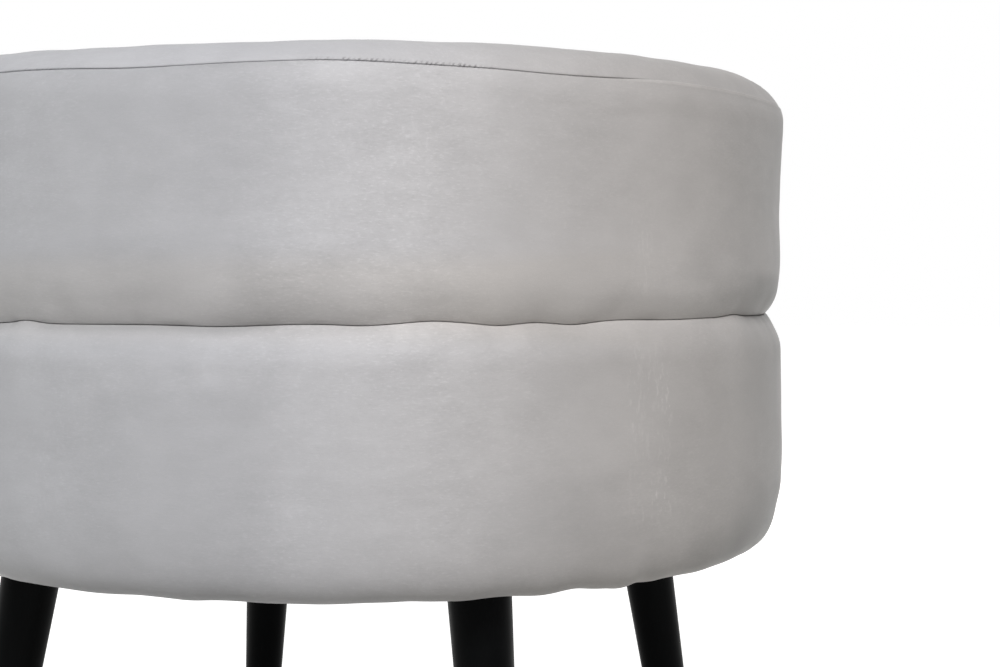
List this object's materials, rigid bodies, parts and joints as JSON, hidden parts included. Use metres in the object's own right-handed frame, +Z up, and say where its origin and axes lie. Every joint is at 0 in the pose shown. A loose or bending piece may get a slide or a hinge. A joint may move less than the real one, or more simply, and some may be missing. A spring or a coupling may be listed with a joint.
{
  "type": "round pouf stool",
  "caption": "Round upholstered pouf: a velvet-covered padded drum with a crowned seat and a drawn-in waist seam, on splayed, tapered black wooden legs.",
  "frame": {"origin": "on the floor, under the centre of the drum", "axes": "+Z up along the drum's axis; -Y to the front; the legs stand on the diagonals between X and Y"},
  "size_m": [0.5, 0.5, 0.445],
  "materials": {
    "velvet": "matte",
    "strip_cloth": "matte",
    "wadding": "matte",
    "foam": "matte",
    "plywood": "matte",
    "hardboard": "matte",
    "softwood": "matte",
    "steel": "satin",
    "black_wood": "satin",
    "glide_plastic": "matte",
    "dust_cloth": "matte"
  },
  "bodies": {
    "root": {"cover_top_panel": "velvet", "cover_upper_band": "velvet", "cover_lower_band": "velvet", "waist_pull_strip": "strip_cloth", "seat_wadding": "wadding", "upper_side_wadding": "wadding", "lower_side_wadding": "wadding", "seat_foam": "foam", "upper_side_foam": "foam", "lower_side_foam": "foam", "seat_board": "plywood", "waist_ring": "plywood", "base_board": "plywood", "upper_skin": "hardboard", "lower_skin": "hardboard", "leg_post_front_right": "softwood", "leg_post_back_right": "softwood", "leg_post_back_left": "softwood", "leg_post_front_left": "softwood", "lower_stud_right": "softwood", "lower_stud_back": "softwood", "lower_stud_left": "softwood", "lower_stud_front": "softwood", "upper_stud_1": "softwood", "upper_stud_2": "softwood", "upper_stud_3": "softwood", "upper_stud_4": "softwood", "upper_stud_5": "softwood", "upper_stud_6": "softwood", "upper_stud_7": "softwood", "upper_stud_8": "softwood", "base_screws": "steel", "ring_lower_screws": "steel", "ring_upper_screws": "steel", "seat_screws": "steel", "glide_nails": "steel", "hanger_bolts": "steel", "threaded_inserts": "steel", "cover_staples": "steel", "dust_cover_staples": "steel", "waist_strip_staples": "steel", "leg_front_right": "black_wood", "leg_back_right": "black_wood", "leg_back_left": "black_wood", "leg_front_left": "black_wood", "glide_front_right": "glide_plastic", "glide_back_right": "glide_plastic", "glide_back_left": "glide_plastic", "glide_front_left": "glide_plastic", "dust_cover": "dust_cloth"}
  },
  "joints": []
}
